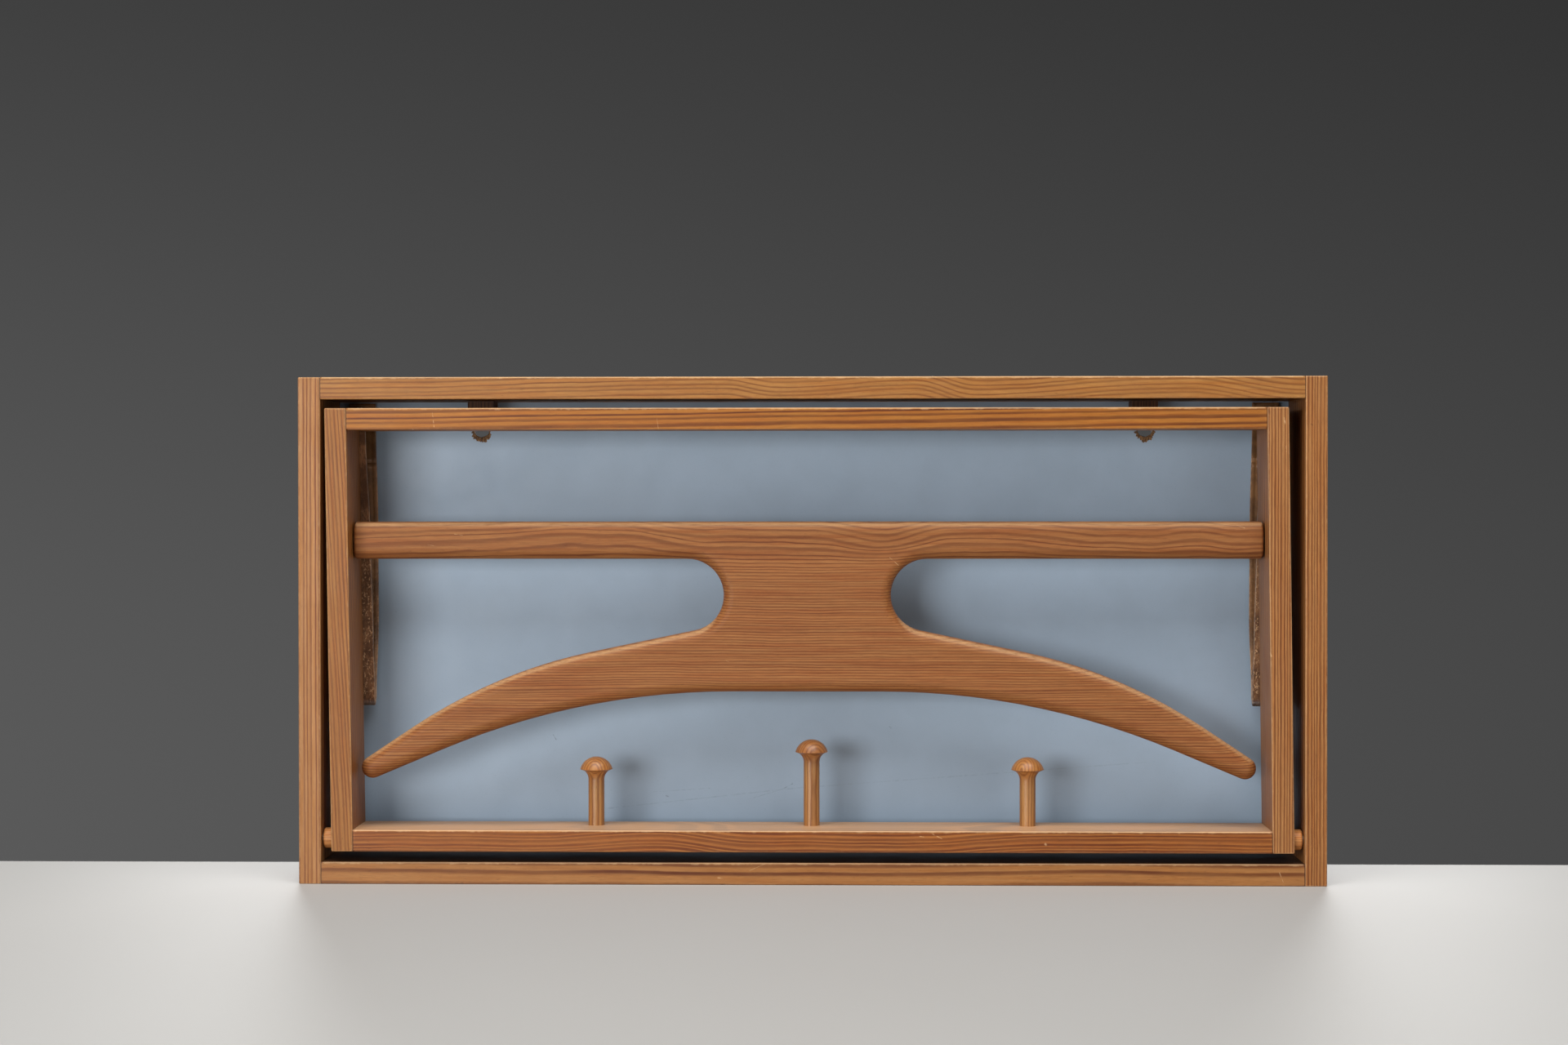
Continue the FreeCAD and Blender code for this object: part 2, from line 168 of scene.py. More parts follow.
# A linear colour from the 0 to 255 values that a colour picker shows
def colour(red, green, blue):
    parts = []
    for value in (red, green, blue):
        share = value / 255
        parts.append(share / 12.92 if share <= 0.04045 else ((share + 0.055) / 1.055) ** 2.4)
    return (*parts, 1.0)


def newMaterial(name):
    material = bpy.data.materials.new(name)
    material.use_nodes = True
    tree = material.node_tree
    return material, tree, tree.nodes["Principled BSDF"].inputs


def objectPlace(tree):
    return addNode(tree, "ShaderNodeTexCoord").outputs["Object"]


def addBump(tree, shader, height, strength, distance):
    bump = addNode(tree, "ShaderNodeBump")
    bump.inputs["Strength"].default_value = strength
    bump.inputs["Distance"].default_value = distance
    tree.links.new(height, bump.inputs["Height"])
    tree.links.new(bump.outputs[0], shader["Normal"])


def dress(piece, material):
    piece.data.materials.clear()
    piece.data.materials.append(material)


# Turns a finished bmesh into a piece of the scene
def newPiece(name, work, *materials):
    mesh = bpy.data.meshes.new(name)
    work.to_mesh(mesh)
    work.free()
    piece = bpy.data.objects.new(name, mesh)
    bpy.context.scene.collection.objects.link(piece)
    for material in materials:
        mesh.materials.append(material)
    return piece


# Sizes of the grain's features, in mm along and across the board
grainSizes = dict(wobble=(18, 4), patches=(50, 10), streak=(45, 1.6), fibre=(7, 0.5), fleck=(3.5, 0.4))
wanderAcross = 35


# Growth rings of softwood, round a pith that runs along the pattern's own X axis
def makeRings():
    tree, given, result = group("growthRings", [
        ("Vector", "Vector", (0, 0, 0)), ("Shift", "Float", 0.0), ("Ring Width", "Float", 0.0018),
        ("Late Share", "Float", 0.4), ("Softness", "Float", 0.25), ("Wander", "Float", 0.0012),
        ("Wander Length", "Float", 0.12), ("Wobble", "Float", 0.00025), ("Seed", "Float", 0.0),
    ], [("Latewood", "Float"), ("Ring Tone", "Float"), ("Streak", "Float"), ("Fibre", "Float"),
        ("Fleck", "Float")])
    along, across, up = split(tree, given["Vector"])
    shift = joined(tree, *(maths(tree, "MULTIPLY", given["Seed"], factor) for factor in (3.7, 6.6, 9.5)))

    def stretched(alongSize, acrossSize):
        sizes = ((along, alongSize), (across, acrossSize), (up, acrossSize))
        scaled = joined(tree, *(maths(tree, "DIVIDE", part, size) for part, size in sizes))
        return vectorMaths(tree, "ADD", scaled, shift)

    def feature(name):
        alongSize, acrossSize = grainSizes[name]
        return stretched(alongSize * mm, acrossSize * mm)

    bends = noise(tree, stretched(given["Wander Length"], wanderAcross * mm), 1.0, 2.0)
    wander = maths(tree, "SUBTRACT", bends, 0.5)
    wobble = maths(tree, "SUBTRACT", noise(tree, feature("wobble"), 1.0, 2.0), 0.5)
    radius = maths(tree, "SQRT", maths(tree, "ADD", maths(tree, "MULTIPLY", across, across),
                                       maths(tree, "MULTIPLY", up, up)))
    radius = maths(tree, "ADD", radius, given["Shift"])
    radius = maths(tree, "MULTIPLY_ADD", wander, maths(tree, "MULTIPLY", given["Wander"], 2.0), radius)
    radius = maths(tree, "MULTIPLY_ADD", wobble, maths(tree, "MULTIPLY", given["Wobble"], 2.0), radius)
    count = maths(tree, "ADD", maths(tree, "DIVIDE", radius, given["Ring Width"]), given["Seed"])
    uneven = noise(tree, count, 0.37, 1.0, dimensions="1D")
    count = maths(tree, "MULTIPLY_ADD", uneven, 1.0, count)
    number = maths(tree, "FLOOR", count)
    share = maths(tree, "FRACT", count)
    tone = addNode(tree, "ShaderNodeTexWhiteNoise", noise_dimensions="1D")
    plug(tree, number, tone.inputs["W"])
    start = maths(tree, "SUBTRACT", 0.97, given["Late Share"])
    start = maths(tree, "MULTIPLY_ADD", maths(tree, "SUBTRACT", tone.outputs[0], 0.5), 0.22, start)
    half = maths(tree, "MULTIPLY", given["Softness"], 0.6)
    rise = smooth(tree, share, maths(tree, "SUBTRACT", start, half), maths(tree, "ADD", start, half))
    fallStart = maths(tree, "SUBTRACT", 1.0, maths(tree, "MULTIPLY", given["Softness"], 0.7))
    fall = smooth(tree, share, fallStart, 1.0, 1.0, 0.0)
    late = maths(tree, "MULTIPLY", rise, fall)
    strength = maths(tree, "MULTIPLY_ADD", tone.outputs[0], 0.50, 0.55)
    patchy = noise(tree, feature("patches"), 1.0, 3.0)
    strength = maths(tree, "MULTIPLY", strength, maths(tree, "MULTIPLY_ADD", patchy, 1.5, 0.25))
    plug(tree, maths(tree, "MULTIPLY", late, strength, clamp=True), result["Latewood"])
    plug(tree, tone.outputs[0], result["Ring Tone"])
    plug(tree, noise(tree, feature("streak"), 1.0, 3.0, 0.6), result["Streak"])
    plug(tree, noise(tree, feature("fibre"), 1.0, 3.0, 0.65), result["Fibre"])
    fleck = noise(tree, feature("fleck"), 1.0, 1.0)
    plug(tree, smooth(tree, fleck, 0.64, 0.76), result["Fleck"])
    return tree


# A bend in the grain: above a floor, the rings rise by one amount past a place along the board
def makeSwell():
    tree, given, result = group("grainSwell", [
        ("Vector", "Vector", (0, 0, 0)), ("Shift", "Float", 0.0), ("Start", "Float", 0.0),
        ("End", "Float", 0.1), ("Rise", "Float", 0.0), ("Floor", "Float", -1.0),
    ], [("Shift", "Float")])
    x, _, z = split(tree, given["Vector"])
    step = smooth(tree, x, given["Start"], given["End"])
    above = smooth(tree, z, given["Floor"], maths(tree, "ADD", given["Floor"], 18 * mm))
    step = maths(tree, "MULTIPLY", step, above)
    plug(tree, maths(tree, "MULTIPLY_ADD", step, given["Rise"], given["Shift"]), result["Shift"])
    return tree


# Wear, and on rails a painted highlight, where two faces of a board meet: the second smallest of the
# distances to its faces
def makeArris():
    tree, given, result = group("arrisWear", [
        ("Vector", "Vector", (0, 0, 0)), ("Low", "Vector", (0, 0, 0)), ("High", "Vector", (1, 1, 1)),
        ("Lean", "Float", 0.0), ("Width", "Float", 0.0012), ("Seed", "Float", 0.0),
    ], [("Wear", "Float"), ("Grime", "Float")])
    x, y, z = split(tree, given["Vector"])
    upright = joined(tree, maths(tree, "MULTIPLY_ADD", z, given["Lean"], x), y, z)
    toLow = vectorMaths(tree, "SUBTRACT", upright, given["Low"])
    toHigh = vectorMaths(tree, "SUBTRACT", given["High"], upright)
    x, y, z = split(tree, vectorMaths(tree, "MINIMUM", toLow, toHigh))
    second = maths(tree, "MAXIMUM", maths(tree, "MINIMUM", x, y),
                   maths(tree, "MINIMUM", maths(tree, "MAXIMUM", x, y), z))
    spots = noise(tree, vectorMaths(tree, "ADD", given["Vector"], given["Seed"]), 260.0, 3.0, 0.65)
    reach = maths(tree, "MULTIPLY", given["Width"], smooth(tree, spots, 0.42, 0.75, 1.2, 2.2))
    plug(tree, smooth(tree, second, 0.0, reach, 1.0, 0.0), result["Wear"])
    broad = noise(tree, given["Vector"], 34.0, 3.0, 0.6)
    plug(tree, smooth(tree, broad, 0.35, 0.75), result["Grime"])
    return tree


# A scratch: how near a place is to the line from one point to another
def makeScratch():
    tree, given, result = group("scratchLine", [
        ("Vector", "Vector", (0, 0, 0)), ("Start", "Vector", (0, 0, 0)), ("End", "Vector", (1, 0, 0)),
        ("Width", "Float", 0.0004),
    ], [("Scratch", "Float")])
    rough = maths(tree, "SUBTRACT", noise(tree, given["Vector"], 90.0, 3.0), 0.5)
    run = vectorMaths(tree, "SUBTRACT", given["End"], given["Start"])
    gone = vectorMaths(tree, "SUBTRACT", given["Vector"], given["Start"])
    share = maths(tree, "DIVIDE", vectorMaths(tree, "DOT_PRODUCT", gone, run, output="Value"),
                  vectorMaths(tree, "DOT_PRODUCT", run, run, output="Value"), clamp=True)
    scaled = addNode(tree, "ShaderNodeVectorMath", operation="SCALE")
    plug(tree, run, scaled.inputs[0])
    plug(tree, share, scaled.inputs["Scale"])
    off = vectorMaths(tree, "LENGTH", vectorMaths(tree, "SUBTRACT", gone, scaled.outputs[0]), output="Value")
    off = maths(tree, "MULTIPLY_ADD", rough, maths(tree, "MULTIPLY", given["Width"], 2.5), off)
    line = smooth(tree, off, 0.0, given["Width"], 1.0, 0.0)
    broken = smooth(tree, noise(tree, given["Vector"], 420.0, 2.0), 0.35, 0.6)
    plug(tree, maths(tree, "MULTIPLY", line, broken), result["Scratch"])
    return tree


rings = makeRings()
swell = makeSwell()
arris = makeArris()
scratch = makeScratch()
print("node groups made")


# Wood: one material for each board, with its own pith, ring width and bends
woodTones = dict(
    early=colour(208, 154, 92), warm=colour(196, 132, 68), late=colour(122, 62, 22),
    # Below: the tone of edge wear and painted highlights, the painted light and shade of top faces, dirt, and
    # dark joints
    worn=colour(236, 196, 146), dust=colour(232, 194, 152), grime=colour(128, 80, 44),
    joint=colour(52, 30, 18),
)
woodShade = dict(fibre=(0.62, 0.69), ring=(0.10, 0.95), fleck=(-0.22, 1.0))  # as times and plus
woodEdge = dict(  # in mm from an edge, a joint, the height of a top face's painted light and shade or a peg's head
    jointFrom=0.12, jointTo=0.5, endFrom=0.5, endTo=1.5, rubbedIn=2.0, dustEase=0.4, dustFrom=1.2, dustTo=3.0,
    headBelow=4.0, headAbove=3.0,
)
markStrength = 0.42
runs = {"along": (0, 0, 0), "up": (0, math.radians(90), 0)}
markDepthShare = 0.15  # how much of the depth counts towards a mark's distance


# Rings turn about a line through look["pith"]; tilt swings that line, in degrees
def woodMaterial(name, look):
    edge = {part: size * mm for part, size in woodEdge.items()}
    material, tree, shader = newMaterial(name)
    tones = {**woodTones, **look.get("tones", {})}
    tint = (*look.get("tint", (1, 1, 1)), 1)
    for part in ("early", "warm", "late"):
        tones[part] = tuple(value * depth for value, depth in zip(tones[part], tint))
    where = objectPlace(tree)
    tilt = [math.radians(angle) for angle in look.get("tilt", (0, 0, 0))]
    turn = Euler(tilt).to_matrix() @ Euler(runs[look["run"]]).to_matrix()
    mapping = addNode(tree, "ShaderNodeMapping")
    mapping.inputs["Rotation"].default_value = turn.to_euler()
    mapping.inputs["Location"].default_value = -(turn @ place(*look["pith"]))
    tree.links.new(where, mapping.inputs["Vector"])
    shift = 0.0
    for start, end, rise in look.get("swells", ()):
        shift = useGroup(tree, swell, Vector=where, Shift=shift, Start=start * mm, End=end * mm,
                         Rise=rise * mm, Floor=look.get("swellFloor", -100) * mm)["Shift"]
    for start, end, rise in look.get("rises", ()):
        upward = addNode(tree, "ShaderNodeMapping")
        upward.inputs["Rotation"].default_value = (0, math.radians(90), 0)
        tree.links.new(where, upward.inputs["Vector"])
        shift = useGroup(tree, swell, Vector=upward.outputs[0], Shift=shift, Start=start * mm, End=end * mm,
                         Rise=rise * mm)["Shift"]
    grain = useGroup(tree, rings, Vector=mapping.outputs[0], Shift=shift, RingWidth=look["ring"] * mm,
                     LateShare=look.get("late", 0.4), Softness=look.get("soft", 0.3),
                     Wander=look.get("wander", 1.0) * mm, WanderLength=look.get("wanderLength", 120) * mm,
                     Wobble=look.get("wobble", 0.25) * mm, Seed=look["seed"])
    ground = mixColour(tree, smooth(tree, grain["Streak"], 0.3, 0.75), tones["early"], tones["warm"])
    contrast = maths(tree, "MULTIPLY", grain["Latewood"], look.get("contrast", 1.0))
    wood = mixColour(tree, contrast, ground, tones["late"])
    fibre = maths(tree, "MULTIPLY_ADD", grain["Fibre"], *woodShade["fibre"])
    ringTone = maths(tree, "MULTIPLY_ADD", grain["Ring Tone"], *woodShade["ring"])
    fleck = maths(tree, "MULTIPLY_ADD", grain["Fleck"], *woodShade["fleck"])
    shade = maths(tree, "MULTIPLY", maths(tree, "MULTIPLY", fibre, ringTone), fleck)
    wood = mixColour(tree, 1.0, wood, grey(tree, shade), "MULTIPLY")
    shader["Specular IOR Level"].default_value = look.get("gloss", 0.28)
    rough = maths(tree, "MULTIPLY_ADD", grain["Fibre"], 0.16, look.get("rough", 0.36))
    x, y, z = split(tree, where)
    if "box" in look:
        low, high = look["box"]
        wear = useGroup(tree, arris, Vector=where, Low=low, High=high, Lean=look.get("lean", 0.0),
                        Width=look.get("wearWidth", 0.6) * mm, Seed=look["seed"])
        # Edge wear, with a painted highlight along the top edges of the rails
        worn = maths(tree, "MULTIPLY", wear["Wear"], look.get("wear", 0.28))
        if look["run"] == "along":
            upright = maths(tree, "MULTIPLY_ADD", z, look.get("lean", 0.0), x)
            toEnd = maths(tree, "MINIMUM", maths(tree, "SUBTRACT", upright, low[0]),
                          maths(tree, "SUBTRACT", high[0], upright))
            worn = maths(tree, "MULTIPLY", worn, smooth(tree, toEnd, edge["endFrom"], edge["endTo"]))
            # Painted highlight: on a rail the edge mark is full along the top edge, as lit from above, and a
            # fifth of that along the bottom edge
            highlightShare = smooth(tree, z, low[2] + edge["rubbedIn"], high[2] - edge["rubbedIn"], 0.2, 1.0)
            worn = maths(tree, "MULTIPLY", worn, highlightShare)
            joint = smooth(tree, toEnd, edge["jointFrom"], edge["jointTo"], 0.75, 0.0)
            wood = mixColour(tree, joint, wood, tones["joint"])
        wood = mixColour(tree, worn, wood, tones["worn"])
        wood = mixColour(tree, maths(tree, "MULTIPLY", wear["Grime"], look.get("grime", 0.18)), wood,
                         tones["grime"])
        rough = maths(tree, "MULTIPLY_ADD", wear["Grime"], 0.06, rough)
    if "headFoot" in look:
        head = smooth(tree, z, look["headFoot"] - edge["headBelow"], look["headFoot"] + edge["headAbove"])
        wood = mixColour(tree, head, wood, mixColour(tree, 1.0, wood, look["headTint"], "MULTIPLY"))
    # Painted highlight: fillets that face upwards are lightened towards the worn tone, broken up along the
    # fibre
    if "topWear" in look:
        facing = split(tree, addNode(tree, "ShaderNodeTexCoord").outputs["Normal"])[2]
        upwardHighlight = maths(tree, "MULTIPLY", smooth(tree, facing, 0.45, 0.75),
                      smooth(tree, facing, 0.82, 0.97, 1.0, 0.2))
        highlightShare = smooth(tree, grain["Fibre"], 0.25, 0.6, 0.35, 1.0)
        upwardHighlight = maths(tree, "MULTIPLY", upwardHighlight, maths(tree, "MULTIPLY", highlightShare, look["topWear"]))
        wood = mixColour(tree, upwardHighlight, wood, tones["worn"])
    # Painted light and shade on a rail's top face behind its front edge: the pale tone paints light from
    # above, a dark tone the shade in the gap under the frame
    if "dustAbove" in look:
        dust = smooth(tree, z, look["dustAbove"] * mm - edge["dustEase"], look["dustAbove"] * mm)
        front = look["front"] * mm
        inside = smooth(tree, y, front + edge["dustFrom"], front + edge["dustTo"], look["dust"] / 2,
                        look["dust"])
        wood = mixColour(tree, maths(tree, "MULTIPLY", dust, inside), wood, tones["dust"])
    flat = vectorMaths(tree, "MULTIPLY", where, (1, markDepthShare, 1))
    for startX, startZ, endX, endZ, width, tone in look.get("marks", ()):
        front = markDepthShare * look["front"]
        line = useGroup(tree, scratch, Vector=flat, Start=place(startX, front, startZ),
                        End=place(endX, front, endZ), Width=width * mm)
        wood = mixColour(tree, maths(tree, "MULTIPLY", line["Scratch"], markStrength), wood, tone)
    tree.links.new(wood, shader["Base Color"])
    tree.links.new(rough, shader["Roughness"])
    height = maths(tree, "MULTIPLY_ADD", grain["Latewood"], 0.6, grain["Fibre"])
    addBump(tree, shader, height, look.get("bump", 0.25), 0.08 * mm)
    return material


# Small scratches and dents, as start and end in X and Z, width and tone
bare = colour(236, 200, 152)
dent = colour(58, 34, 20)

# Boards of the case
caseBoards = {
    "case_side_left": dict(run="up", pith=(-440, -90, 128), ring=1.95, seed=1.0, wander=0.6, wanderLength=160,
                           late=0.42, soft=0.22, tint=(0.64, 0.61, 0.56),
                           tones=dict(early=colour(208, 152, 98), late=colour(134, 68, 34))),
    "case_side_right": dict(run="up", pith=(445, -70, 128), ring=1.5, seed=2.0, wander=0.8, wanderLength=70,
                            late=0.5, soft=0.3, tint=(0.61, 0.53, 0.485),
                            marks=((251.5, 233, 252.2, 232.6, 0.5, dent),)),
    "case_top_rail": dict(run="along", pith=(0, 20, 330), ring=2.0, seed=3.0, wander=0.9, wanderLength=60,
                          late=0.45, soft=0.38, contrast=0.75, wear=0.6, wearWidth=0.75,
                          tint=(0.58, 0.505, 0.38),
                          swells=((-260, -40, 3.5), (-44, -18, -3.3), (-18, 50, 3.0), (52, 84, -6.0),
                                  (84, 190, 4.5), (192, 246, -6.5))),
    "case_bottom_rail": dict(run="along", pith=(0, -5, -77.6), ring=4.8, seed=4.0, wander=2.4,
                             wanderLength=130, late=0.42, soft=0.26, wear=0.5, wearWidth=0.75,
                             # Its top face is painted near black from 11 mm up: painted shade in the gap
                             # under the frame
                             tint=(0.5, 0.395, 0.312), dustAbove=11.0, dust=0.8,
                             tones=dict(early=colour(218, 168, 108), warm=colour(206, 148, 84),
                                        dust=colour(24, 15, 10)),
                             marks=((-31, 7.4, -23, 10.8, 0.25, bare), (-47, 3.6, -44, 3.4, 0.5, bare),
                                    (236, 7, 238, 2, 0.3, bare), (-180, 0.2, -177, 0.2, 1.0, dent),
                                    (-46, 0.2, -44, 0.2, 0.9, dent), (-238, 0.2, -236, 0.2, 0.8, dent))),
}
caseFront = cadBox[0][1] / mm
for name, look in caseBoards.items():
    dress(nodes[name], woodMaterial(name + "_wood", {**look, "box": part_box(name), "front": caseFront}))
print("case boards dressed")

# Boards of the swing frame, whose outlines lean to the left as they rise
frameLook = dict(leanAcross=3.1, leanHeight=225.0)
frameBoards = {
    "frame_stile_left": dict(run="up", pith=(-420, -110, 128), ring=1.65, seed=5.0, wander=1.4,
                             wanderLength=110, tilt=(0, 3, 0), late=0.45, soft=0.3, contrast=0.85,
                             tint=(0.53, 0.425, 0.29)),
    "frame_stile_right": dict(run="up", pith=(420, -90, 128), ring=1.5, seed=6.0, wander=0.6,
                              wanderLength=120, late=0.48, soft=0.3, tint=(0.61, 0.545, 0.54),
                              marks=((231.3, 118, 231.8, 116, 0.5, bare), (230.4, 240, 230.6, 238, 0.5, dent),
                                     (238, 236, 238.6, 233, 0.3, bare), (239, 222, 239.2, 219, 0.3, bare))),
    "frame_top_rail": dict(run="along", pith=(0, -85, 400), ring=2.9, seed=7.0, wander=1.3, wanderLength=110,
                           tilt=(0, 0.8, 0), late=0.46, soft=0.28, grime=0.08, wear=0.55,
                           wearWidth=0.75, tint=(0.545, 0.48, 0.295),
                           marks=((-191.5, 239, -190.7, 232, 0.28, bare), (-78, 238, -77, 231, 0.28, bare),
                                  (-201.5, 230.6, -201, 230, 0.5, bare)),
                           tones=dict(early=colour(214, 146, 74), warm=colour(204, 126, 54),
                                      late=colour(118, 56, 20))),
    "frame_bottom_rail": dict(run="along", pith=(0, -20, -160), ring=2.0, seed=8.0, wander=1.6,
                              wanderLength=70, late=0.6, soft=0.22, contrast=0.92, wear=0.55,
                              # Its top face is painted paler: painted light from above
                              wearWidth=0.75, tint=(0.545, 0.375, 0.23), dustAbove=27.2, dust=0.44,
                              marks=((61.6, 26, 66.2, 23.7, 0.28, bare), (55, 24.9, 57, 24.6, 0.3, bare),
                                     (118.4, 21, 118.6, 20.8, 0.8, bare)),
                              swells=((-150, -80, -3.0), (-80, -30, 5.0), (60, 120, -3.0))),
}
for name, look in frameBoards.items():
    low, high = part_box(name)
    lean = frameLook["leanAcross"] / frameLook["leanHeight"]
    upright = ((low[0] + high[2] * lean, low[1], low[2]), (high[0] + low[2] * lean, high[1], high[2]))
    dress(nodes[name], woodMaterial(name + "_wood", {**look, "box": upright, "lean": lean,
                                                     "front": low[1] / mm}))
print("frame boards dressed")

# Hanger board: fine level grain from end to end
hangerLook = dict(
    run="along", pith=(0, 30, -260), ring=1.4, seed=9.0, wander=1.7, wanderLength=95, wobble=0.3,
    # The hanger's upward-facing fillets get a painted highlight
    late=0.38, soft=0.26, contrast=0.82, rough=0.46, gloss=0.24, topWear=0.3, tint=(0.555, 0.52, 0.422),
    marks=((216, 182, 220, 180.5, 0.25, bare), (40, 165.5, 44.5, 161.5, 0.3, bare),
           (-44, 121.5, -42.5, 120.8, 0.25, bare), (-43.5, 113, -42, 112.4, 0.22, bare),
           (-52, 98.5, -50, 97.8, 0.25, bare), (-182, 177.5, -178, 176.8, 0.25, bare),
           (-196, 172, -192, 171.4, 0.22, bare)),
    tones=dict(early=colour(196, 134, 84), late=colour(120, 60, 32), warm=colour(180, 110, 62)),
    swells=((-180, -120, -2.0), (-100, -50, 3.0), (0, 36, 2.6), (38, 70, -3.2), (90, 150, 2.0),
            (172, 196, -1.3), (198, 216, 1.1)),
    rises=((158, 186, -12.0),), swellFloor=158,
)
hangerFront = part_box("hanger_board")[0][1] / mm
dress(nodes["hanger_board"], woodMaterial("hanger_wood", {**hangerLook, "front": hangerFront}))

# Turned pegs, each head in its own tone, and the pale collars of the hinge
pegLook = dict(run="up", ring=1.7, wander=0.5, wanderLength=30, wobble=0.2, rough=0.3, gloss=0.45,
               late=0.42, soft=0.35, contrast=0.75, tint=(0.64, 0.635, 0.665), headHeight=12)
collarLook = dict(run="along", pith=(0, -60, -30), ring=1.3, contrast=0.5, tint=(0.85, 0.74, 0.72))
pegs = {
    "peg_left": dict(pith=(-111.5, -18, 0), headTint=(1.07, 0.94, 0.83, 1.0), seed=20.0),
    "peg_centre": dict(pith=(6, -26, 0), headTint=(0.86, 0.73, 0.69, 1.0), seed=21.0),
    "peg_right": dict(pith=(107, -15, 0), headTint=(1.08, 0.94, 0.76, 1.0), seed=22.0),
}
for name, look in pegs.items():
    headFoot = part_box(name)[1][2] - pegLook["headHeight"] * mm
    dress(nodes[name], woodMaterial(name + "_wood", {**pegLook, **look, "headFoot": headFoot}))
for number, name in enumerate(("hinge_collar_left", "hinge_collar_right")):
    dress(nodes[name], woodMaterial(name + "_wood", {**collarLook, "seed": 24.0 + number}))

# Stop blocks and the hidden dowels
# Dark tones paint the shade under the case's top rail, where the blocks sit
shadedBlockTones = dict(early=colour(104, 66, 40), warm=colour(88, 54, 32), late=colour(54, 30, 18))
for number, name in enumerate(("stop_block_left", "stop_block_right")):
    look = dict(run="up", pith=(0, 60, 240), ring=1.6, seed=30.0 + number, tones=shadedBlockTones, rough=0.5)
    dress(nodes[name], woodMaterial(name + "_wood", look))
for number, name in enumerate(("case_corner_dowels", "frame_corner_dowels")):
    look = dict(run="along", pith=(0, 20, 60), ring=1.4, seed=32.0 + number)
    dress(nodes[name], woodMaterial(name + "_wood", look))
print("hanger, pegs and blocks dressed")


# Painted panel: semi-matt grey blue, faintly mottled and scratched, raw in the bores of its two holes
panelLook = dict(
    paint=colour(150, 168, 186), pale=colour(157, 176, 195), dark=colour(98, 106, 118), rough=0.42,
    raw=colour(112, 82, 54), board=colour(134, 102, 70), boardDark=colour(104, 76, 50), paintDeep=0.7,
    # The dark tone and foot values paint the shade at the panel's foot
    grime=colour(30, 26, 24), footGrime=0.8, footFrom=12, footTo=19, meshRepeat=2600.0,
    face=26.25, holeX=174.0, holeZ=231.2, holeRadius=4.1, rawFrom=0.25, rawTo=0.45,
    scratches=(
        (-110, 32, -10.5, 43, 0.5, 0.22), (-10.5, 43, 174.5, 57, 0.5, 0.16),
        (-16, 42.5, -10.5, 45.4, 0.45, 0.6), (-31, 38, -16, 42.5, 0.3, 0.35), (-84, 41, -54, 43, 0.3, 0.3),
        (-136.5, 71, -135, 68.5, 0.45, 0.8), (40.5, 75.5, 41.5, 74.6, 0.6, 0.6),
        (-77, 39, -76, 38.6, 0.6, 0.6), (-220, 136, -219.3, 135.5, 0.6, 0.6),
        (-194, 66, -193.4, 65.6, 0.6, 0.6),
    ),
)


def panelMaterial():
    material, tree, shader = newMaterial("panel_paint")
    where = objectPlace(tree)
    flat = vectorMaths(tree, "MULTIPLY", where, (1, 0, 1))
    cloud = smooth(tree, noise(tree, where, 16.0, 4.0, 0.6), 0.3, 0.7)
    paint = mixColour(tree, cloud, panelLook["paint"], panelLook["pale"])
    speckle = smooth(tree, noise(tree, where, 1400.0, 2.0), 0.62, 0.75)
    paint = mixColour(tree, maths(tree, "MULTIPLY", speckle, 0.10), paint, panelLook["dark"])
    for startX, startZ, endX, endZ, width, depth in panelLook["scratches"]:
        line = useGroup(tree, scratch, Vector=flat, Start=place(startX, 0, startZ), End=place(endX, 0, endZ),
                        Width=width * mm)
        paint = mixColour(tree, maths(tree, "MULTIPLY", line["Scratch"], depth), paint, panelLook["dark"])
    rawFrom = (panelLook["holeRadius"] + panelLook["rawFrom"]) * mm
    rawTo = (panelLook["holeRadius"] + panelLook["rawTo"]) * mm
    for way in (-1, 1):
        axis = place(way * panelLook["holeX"], 0, panelLook["holeZ"])
        away = vectorMaths(tree, "DISTANCE", flat, axis, output="Value")
        away = maths(tree, "MULTIPLY_ADD", noise(tree, where, 700.0, 2.0), 0.5 * mm, away)
        bore = smooth(tree, away, rawFrom, rawTo, 1.0, 0.0)
        paint = mixColour(tree, bore, paint, panelLook["raw"])
    x, y, z = split(tree, where)
    paintBack = panelLook["face"] + panelLook["paintDeep"]
    behind = smooth(tree, y, paintBack * mm, (paintBack + 0.2) * mm)
    coarse = smooth(tree, noise(tree, where, 900.0, 4.0, 0.7), 0.35, 0.65)
    board = mixColour(tree, coarse, panelLook["boardDark"], panelLook["board"])
    # Painted shade: the panel darkens towards its foot, in the gap under the frame
    low = smooth(tree, z, panelLook["footFrom"] * mm, panelLook["footTo"] * mm, panelLook["footGrime"], 0.0)
    paint = mixColour(tree, low, paint, panelLook["grime"])
    paint = mixColour(tree, behind, paint, board)
    tree.links.new(paint, shader["Base Color"])
    wipe = smooth(tree, noise(tree, where, 30.0, 4.0, 0.7), 0.35, 0.7, 0.0, 0.12)
    rough = maths(tree, "MULTIPLY_ADD", behind, 0.35, maths(tree, "ADD", wipe, panelLook["rough"]))
    tree.links.new(rough, shader["Roughness"])
    mesh = maths(tree, "MULTIPLY", maths(tree, "SINE", maths(tree, "MULTIPLY", x, panelLook["meshRepeat"])),
                 maths(tree, "SINE", maths(tree, "MULTIPLY", z, panelLook["meshRepeat"])))
    height = maths(tree, "MULTIPLY_ADD", maths(tree, "MULTIPLY", mesh, behind), 1.5,
                   noise(tree, where, 900.0, 3.0))
    addBump(tree, shader, height, 0.12, 0.05 * mm)
    return material


dress(nodes["back_panel"], panelMaterial())

